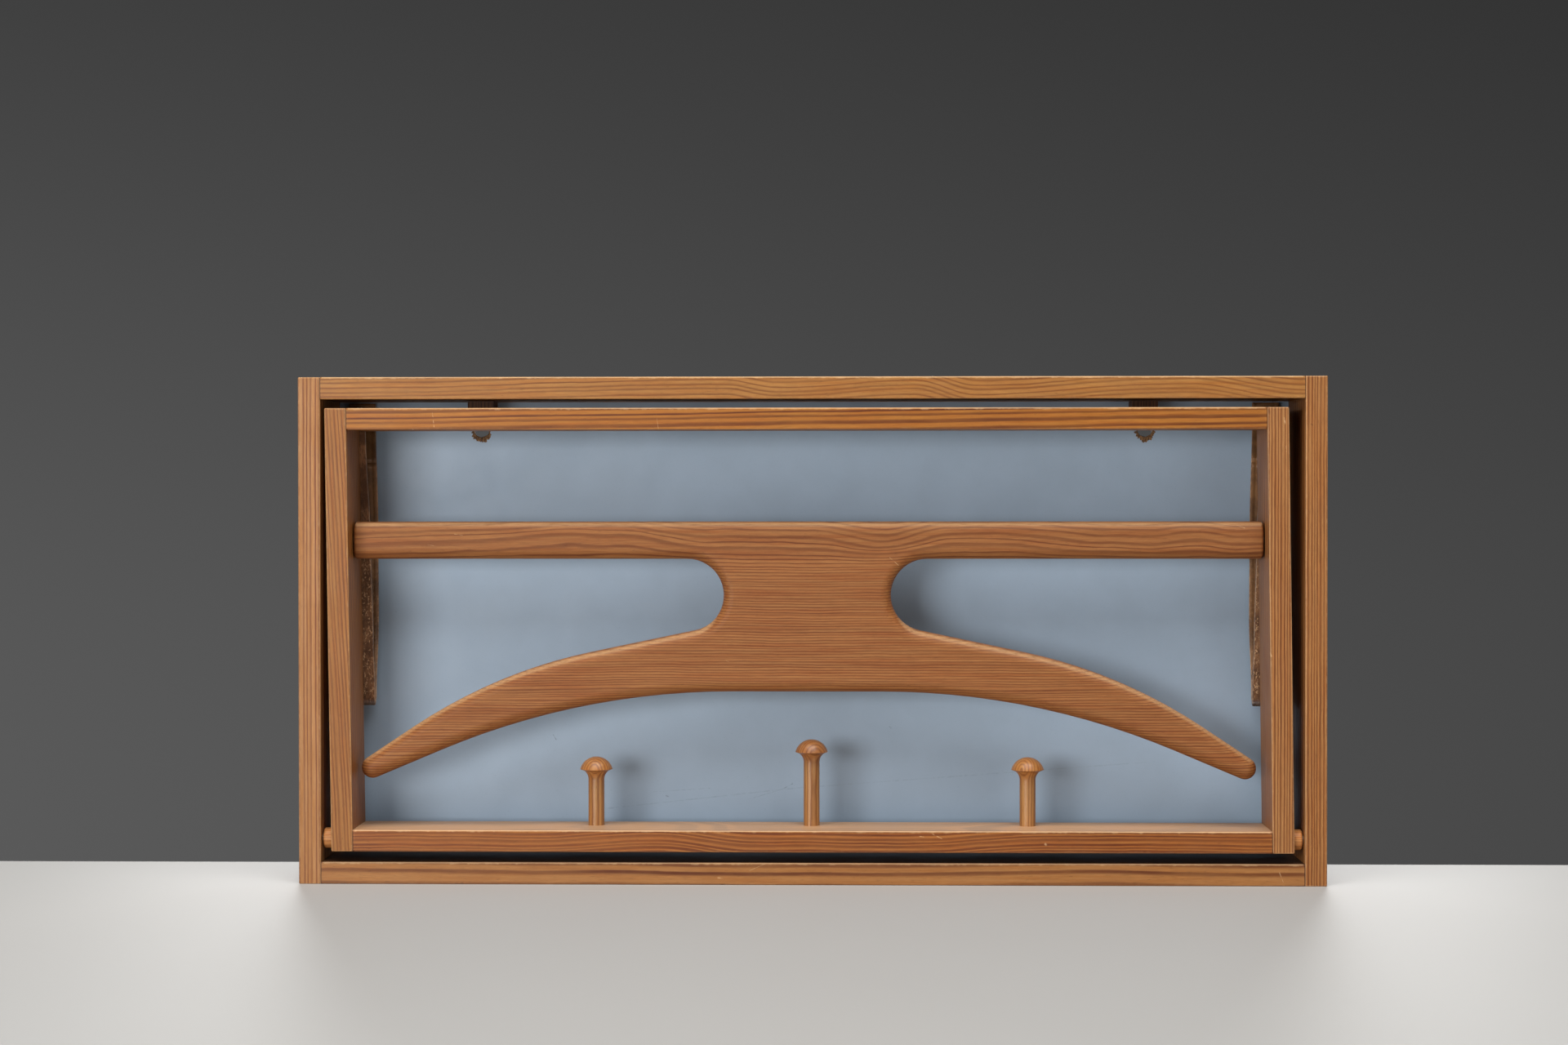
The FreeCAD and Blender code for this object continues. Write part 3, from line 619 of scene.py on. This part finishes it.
# Torn board round the two holes, jagged most of all below; the section is given as radius and depth
tornLook = dict(
    corners=72, lowWide=1.2, jag=0.75, bite=0.7, rough=0.9, light=colour(150, 112, 74),
    dark=colour(70, 46, 28),
    section=((3.9, 0.7), (4.05, -0.1), (4.5, -0.32), (4.9, -0.02), (4.7, 0.3), (4.3, 1.0)),
)


def tornMaterial():
    material, tree, shader = newMaterial("torn_board")
    where = objectPlace(tree)
    fibre = noise(tree, vectorMaths(tree, "MULTIPLY", where, (1.0, 1.0, 0.4)), 1600.0, 3.0, 0.7)
    tree.links.new(mixColour(tree, smooth(tree, fibre, 0.35, 0.65), tornLook["dark"], tornLook["light"]),
                   shader["Base Color"])
    shader["Roughness"].default_value = tornLook["rough"]
    addBump(tree, shader, fibre, 0.8, 0.3 * mm)
    return material


def tornRims():
    torn = tornMaterial()
    look = tornLook
    corners = look["corners"]
    radii = [radius for radius, depth in look["section"]]
    inner, outer = min(radii), max(radii)
    for side, way, seed in (("left", -1, 5), ("right", 1, 8)):
        chance = random.Random(seed)
        work = bmesh.new()
        ring = [work.verts.new(place(radius, depth, 0)) for radius, depth in look["section"]]
        sides = [work.edges.new((ring[number - 1], vert)) for number, vert in enumerate(ring)]
        bmesh.ops.spin(work, geom=ring + sides, cent=(0, 0, 0), axis=(0, 1, 0), angle=2 * math.pi,
                       steps=corners, use_merge=True)
        tornEdge = [(chance.uniform(-1, 1), chance.uniform(0.3, 1), chance.random()) for _ in range(corners)]
        for vert in work.verts:
            angle = math.atan2(vert.co.z, vert.co.x)
            jag, proud, bite = tornEdge[round(angle / (2 * math.pi) * corners) % corners]
            low = max(0.0, -math.sin(angle))
            radius = math.hypot(vert.co.x, vert.co.z)
            share = (radius / mm - inner) / (outer - inner)
            grown = share * (look["lowWide"] * low + look["jag"] * jag)
            grown -= (1 - share) * low * bite * look["bite"]
            stretch = 1 + grown * mm / radius
            vert.co = (vert.co.x * stretch, vert.co.y * (proud if vert.co.y < 0 else 1), vert.co.z * stretch)
        bmesh.ops.translate(work, vec=place(way * panelLook["holeX"], panelLook["face"], panelLook["holeZ"]),
                            verts=work.verts)
        bmesh.ops.recalc_face_normals(work, faces=work.faces)
        rim = newPiece("torn_rim_" + side, work, torn)
        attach(rim, "case")


tornRims()

# Steel of the pins, screws and washers
steelLook = dict(bright=colour(168, 164, 156), dull=colour(110, 98, 84), rough=0.34)


def steelMaterial():
    material, tree, shader = newMaterial("steel")
    where = objectPlace(tree)
    stain = smooth(tree, noise(tree, where, 380.0, 3.0, 0.6), 0.4, 0.7)
    tree.links.new(mixColour(tree, stain, steelLook["bright"], steelLook["dull"]), shader["Base Color"])
    tree.links.new(maths(tree, "MULTIPLY_ADD", stain, 0.2, steelLook["rough"]), shader["Roughness"])
    shader["Metallic"].default_value = 1.0
    return material


steel = steelMaterial()
for name in ("panel_pins", "hinge_pin_left", "hinge_pin_right", "pivot_pin_left", "pivot_pin_right",
             "strap_case_screws", "strap_case_washers", "strap_frame_screws", "strap_frame_washers"):
    dress(nodes[name], steel)
print("panel and steel dressed")


# Leather of the straps: smooth grain side, fuzzy flesh side, and pale frayed fibres towards the fold
leatherLook = dict(
    grainTone=colour(146, 102, 62), grainDark=colour(102, 69, 41), fleshTone=colour(160, 112, 74),
    fleshDark=colour(98, 63, 38), edgeTone=colour(202, 154, 108), edgeDark=colour(104, 70, 44),
    fibreTone=colour(236, 192, 146), fray=0.8, frayFrom=60, frayFull=115, frayEase=210, frayTo=280,
)


# Reads each point's place on the strap as it was cut: across, out and along
def leatherMaterial(name, tone, dark, rough, fuzz):
    look = leatherLook
    material, tree, shader = newMaterial(name)
    where = addNode(tree, "ShaderNodeAttribute", attribute_name="strapPlace").outputs["Vector"]
    cloud = smooth(tree, noise(tree, where, 90.0, 4.0, 0.6), 0.35, 0.65)
    drawn = noise(tree, vectorMaths(tree, "MULTIPLY", where, (1, 1, 0.25)), 1500.0, 3.0, 0.7)
    leather = mixColour(tree, cloud, tone, dark)
    leather = mixColour(tree, smooth(tree, drawn, 0.42, 0.68, 0.0, fuzz), leather, dark)
    gone = split(tree, where)[2]
    frayed = maths(tree, "MULTIPLY", smooth(tree, gone, look["frayFrom"] * mm, look["frayFull"] * mm),
                   smooth(tree, gone, look["frayEase"] * mm, look["frayTo"] * mm, 1.0, 0.0))
    fibres = noise(tree, vectorMaths(tree, "MULTIPLY", where, (1, 1, 0.6)), 1100.0, 4.0, 0.7)
    fibres = smooth(tree, fibres, 0.54, 0.64, 0.0, look["fray"] * fuzz)
    leather = mixColour(tree, maths(tree, "MULTIPLY", frayed, fibres), leather, look["fibreTone"])
    tree.links.new(leather, shader["Base Color"])
    tree.links.new(maths(tree, "MULTIPLY_ADD", drawn, 0.15, rough), shader["Roughness"])
    addBump(tree, shader, drawn, 0.25 + 0.6 * fuzz, (0.08 + 0.35 * fuzz) * mm)
    shader["Sheen Weight"].default_value = 0.3 * fuzz
    shader["Sheen Roughness"].default_value = 0.5
    return material


leather = [
    leatherMaterial("leather_grain_side", leatherLook["grainTone"], leatherLook["grainDark"], 0.42, 0.25),
    leatherMaterial("leather_flesh_side", leatherLook["fleshTone"], leatherLook["fleshDark"], 0.85, 0.9),
    leatherMaterial("leather_edge", leatherLook["edgeTone"], leatherLook["edgeDark"], 0.85, 1.0),
]

strapLook = dict(
    width=14.0, thickness=3.0, edgeRound=0.8, lineIn=2.3, lineDeep=0.28, lineWidth=0.9, crown=0.05,
    middleX=237.9, rearY=24.65, frontY=9.35, rearTop=245.4, frontTop=239.5, rearBend=234.9, frontBend=229.0,
    foldY=17.0, foldZ=90.9, foldRadius=2.2, foldHalf=0.65, bendHalf=4.0, step=3.0, splice=214.0, pinch=0.78,
    crownShare=0.3, roundShare=0.3, rimShare=0.4, endAngles=(20, 40, 60, 80),
    rearSway=((239, 1.3), (175, 2.8), (130, 3.2), (95, 2.2)),
    frontSway=((232, -1.6), (170, 0.6), (120, 1.6), (95, 2.2)),
)


# Stops from a start towards an end, about one step apart, each with the run's heading
def spread(start, end):
    count = max(1, round((end - start).length / strapLook["step"]))
    heading = (end - start).normalized()
    return [(start.lerp(end, number / count), heading) for number in range(count + 1)]


# Where a straight run that comes down from a bend meets the fold; way is 1 behind the fold, -1 before it
def foldTouch(bend, centre, way):
    reach = centre - bend
    heading = math.atan2(reach.y, reach.x) + way * math.asin(strapLook["foldRadius"] / reach.length)
    length = math.sqrt(reach.length ** 2 - strapLook["foldRadius"] ** 2)
    return bend + length * Vector((math.cos(heading), math.sin(heading)))


# The strap's middle line in Y and Z, as stops of its three pieces; the crease is a single stop
def strapStops():
    look = strapLook
    rearBend = Vector((look["rearY"], look["rearBend"]))
    frontBend = Vector((look["frontY"], look["frontBend"]))
    centre = Vector((look["foldY"], look["foldZ"]))
    rearTouch = foldTouch(rearBend, centre, 1)
    frontTouch = foldTouch(frontBend, centre, -1)
    splice = rearBend.lerp(rearTouch, (rearBend.y - look["splice"]) / (rearBend.y - rearTouch.y))
    crease = (centre - Vector((0, look["foldRadius"])), Vector((-1, 0)))
    top = spread(Vector((look["rearY"], look["rearTop"])), rearBend)[:-1] + spread(rearBend, splice)
    folded = spread(splice, rearTouch) + [crease] + spread(frontTouch, frontBend)
    end = spread(frontBend, Vector((look["frontY"], look["frontTop"])))
    return top, folded, end


# The strap's section as across and out, with a pressed line near each edge of the grain side
def strapSection():
    look = strapLook
    half = look["width"] / 2
    thick = look["thickness"] / 2
    bend = look["edgeRound"]
    cut = bend * look["roundShare"]
    crown = half * look["crownShare"]
    line = half - look["lineIn"]
    wide = look["lineWidth"] / 2
    right = [(crown, thick + look["crown"]), (line - wide, thick), (line, thick - look["lineDeep"]),
             (line + wide, thick), (half - bend, thick), (half - cut, thick - cut), (half, thick - bend),
             (half, -thick + bend), (half - cut, -thick + cut), (half - bend, -thick), (crown, -thick)]
    return right + [(-across, out) for across, out in reversed(right)]


# Extrudes the section from stop to stop, thinner at the stop that is pinched in the bend at the frame
def strapPiece(name, stops, gone, middleX, sway, pinched=None):
    look = strapLook
    work = bmesh.new()
    flatPlace = work.verts.layers.float_vector.new("strapPlace")
    end = work.faces.new([work.verts.new(place(across, out, 0)) for across, out in strapSection()])
    for vert in end.verts:
        vert[flatPlace] = vert.co
    places = []
    before = stops[0][0]
    for spot, heading in stops:
        gone += (spot - before).length
        before = spot
        x, y, z = place(middleX + sway(spot), spot.x, spot.y)
        turned = Matrix(((1, 0, 0, x), (0, heading.y, heading.x, y), (0, -heading.x, heading.y, z),
                         (0, 0, 0, 1)))
        places.append((gone, turned))
    if pinched is not None:
        length, turned = places[pinched]
        places[pinched] = (length, turned @ Matrix.Diagonal((1, look["pinch"], 1, 1)))
    if pinched == -1:  # a round end, which turns inside the bend
        for angle in map(math.radians, look["endAngles"]):
            ahead = look["thickness"] / 2 * look["pinch"] * math.sin(angle)
            thin = Matrix.Diagonal((1, look["pinch"] * math.cos(angle), 1, 1))
            places.append((gone + ahead, turned @ Matrix.Translation(place(0, 0, ahead)) @ thin))
    last = Matrix.Identity(4)
    for number, (length, turned) in enumerate(places):
        if number:
            made = bmesh.ops.extrude_face_region(work, geom=[end])["geom"]
            end = [part for part in made if isinstance(part, bmesh.types.BMFace)][0]
        bmesh.ops.transform(work, matrix=turned @ last.inverted(), verts=end.verts)
        last = turned
        for vert in end.verts:
            vert[flatPlace] = (*vert[flatPlace].xy, length * mm)
    bmesh.ops.recalc_face_normals(work, faces=work.faces)
    rim = (look["thickness"] / 2 - look["edgeRound"] * look["rimShare"]) * mm
    for face in work.faces:
        out = sum(vert[flatPlace].y for vert in face.verts) / len(face.verts)
        face.material_index = 0 if out > rim else 1 if out < -rim else 2
        face.smooth = len(face.verts) == 4
    return newPiece(name, work, *leather), gone


# How far a strap hangs towards the middle, for a spot in Y and Z
def strapSway(spot, way):
    rear = spot.x > strapLook["foldY"]
    drops = strapLook["rearSway" if rear else "frontSway"]
    for (highZ, highSway), (lowZ, lowSway) in zip(drops, drops[1:]):
        if lowZ <= spot.y <= highZ:
            share = (spot.y - lowZ) / (highZ - lowZ)
            share = share * share * (3 - 2 * share)
            return -way * (lowSway + (highSway - lowSway) * share)
    return -way * (drops[0][1] if spot.y > drops[0][0] else drops[-1][1])


def leatherStraps():
    look = strapLook
    topStops, foldedStops, endStops = strapStops()
    for side, way in (("left", -1), ("right", 1)):
        strap = "strap_" + side
        middleX = way * look["middleX"]

        def sway(spot):
            return strapSway(spot, way)

        top, gone = strapPiece(strap + "_top_leather", topStops, 0.0, middleX, sway)
        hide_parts(strap + "_case_end")
        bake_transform(top)
        folded, gone = strapPiece(strap + "_folded_leather", foldedStops, gone, middleX, sway, pinched=-1)
        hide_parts(strap + "_rear", strap + "_front")
        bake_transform(folded)
        end, gone = strapPiece(strap + "_frame_leather", endStops, gone, middleX, sway, pinched=0)
        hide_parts(strap + "_frame_end")
        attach(end, "swing_frame")


leatherStraps()
print("leather straps made")


# Table top, lights and backdrop
stageLook = dict(tableBack=54, tableFront=-1500, tableHalf=3200, tableTone=colour(183, 181, 177),
                 tableDark=colour(178, 176, 172), rough=0.6)


def tableTop():
    work = bmesh.new()
    bmesh.ops.create_grid(work, x_segments=1, y_segments=1, size=1.0)
    half = stageLook["tableHalf"]
    depth = (stageLook["tableBack"] - stageLook["tableFront"]) / 2
    middle = (stageLook["tableBack"] + stageLook["tableFront"]) / 2
    bmesh.ops.scale(work, vec=(half * mm, depth * mm, 1), verts=work.verts)
    bmesh.ops.translate(work, vec=place(0, middle, 0), verts=work.verts)
    material, tree, shader = newMaterial("table_paint")
    where = objectPlace(tree)
    cloud = noise(tree, where, 3.0, 3.0)
    tone = mixColour(tree, cloud, stageLook["tableTone"], stageLook["tableDark"])
    tree.links.new(tone, shader["Base Color"])
    shader["Roughness"].default_value = stageLook["rough"]
    newPiece("table_top", work, material)


tableTop()

lamps = {
    "key": dict(swing=28, lift=4, away=2000, size=(850, 500), power=18.5),
    "right": dict(swing=-35, lift=5, away=2200, size=(1000, 800), power=4),
    "high": dict(swing=0, lift=50, away=1900, size=(1800, 800), power=17),
    "top": dict(swing=0, lift=71, away=1900, size=(2000, 800), power=29),
    "behind": dict(swing=180, lift=10, away=1900, size=(1600, 500), power=26),
}
lampAim = (0, 0, 120)


# An area lamp that faces the object, from swing degrees to the left and lift degrees up
def addLamp(name, look):
    data = bpy.data.lights.new(name, "AREA")
    data.shape = "RECTANGLE"
    data.size, data.size_y = look["size"][0] * mm, look["size"][1] * mm
    data.energy = look["power"]
    lamp = bpy.data.objects.new(name, data)
    swing, lift = math.radians(look["swing"]), math.radians(look["lift"])
    away = Vector((-math.sin(swing) * math.cos(lift), -math.cos(swing) * math.cos(lift), math.sin(lift)))
    lamp.visible_camera = False
    lamp.location = place(*lampAim) + away * look["away"] * mm
    lamp.rotation_euler = (-away).to_track_quat("-Z", "Y").to_euler()
    bpy.context.scene.collection.objects.link(lamp)


for name, look in lamps.items():
    addLamp(name, look)

# The backdrop darkens upwards and to the right; the four At values are parts of a view ray's heading
worldLook = dict(ambient=(0.07, 0.07, 0.072, 1.0), low=(0.081, 0.081, 0.081, 1.0),
                 high=(0.032, 0.032, 0.032, 1.0), lowAt=-0.12, highAt=0.27,
                 leftLight=1.26, rightLight=0.76, leftAt=-0.3, rightAt=0.3)


# A dark backdrop for what the camera, gloss and glass see, and soft light for the rest
def studioWorld():
    look = worldLook
    world = bpy.data.worlds.new("studio")
    bpy.context.scene.world = world
    world.use_nodes = True
    tree = world.node_tree
    tree.nodes.clear()
    path = addNode(tree, "ShaderNodeLightPath").outputs
    seen = maths(tree, "MAXIMUM", maths(tree, "MAXIMUM", path["Is Camera Ray"], path["Is Glossy Ray"]),
                 path["Is Transmission Ray"])
    x, _, z = split(tree, addNode(tree, "ShaderNodeTexCoord").outputs["Generated"])
    height = smooth(tree, z, look["lowAt"], look["highAt"])
    backdrop = mixColour(tree, height, look["low"], look["high"])
    sideways = addNode(tree, "ShaderNodeMapRange", clamp=True)
    ends = (look["leftAt"], look["rightAt"], look["leftLight"], look["rightLight"])
    for number, part in enumerate((x, *ends)):
        plug(tree, part, sideways.inputs[number])
    backdrop = mixColour(tree, 1.0, backdrop, grey(tree, sideways.outputs[0]), "MULTIPLY")
    tone = mixColour(tree, seen, look["ambient"], backdrop)
    ground = addNode(tree, "ShaderNodeBackground")
    tree.links.new(tone, ground.inputs["Color"])
    tree.links.new(ground.outputs[0], addNode(tree, "ShaderNodeOutputWorld").inputs["Surface"])


studioWorld()

cameraLook = dict(spot=(22.53, -1508.05, 202.1), lens=67.125, sensor=36.0, nose=-0.0126, roll=0.0006,
                  swing=0.0244)
cameraData = bpy.data.cameras.new("camera")
cameraData.sensor_width = cameraLook["sensor"]
cameraData.lens = cameraLook["lens"]
camera = bpy.data.objects.new("camera", cameraData)
camera.location = place(*cameraLook["spot"])
camera.rotation_euler = (math.pi / 2 + cameraLook["nose"], cameraLook["roll"], cameraLook["swing"])
bpy.context.scene.collection.objects.link(camera)
bpy.context.scene.camera = camera
bpy.context.scene.view_settings.view_transform = "Standard"
print("stage, lights and camera set")
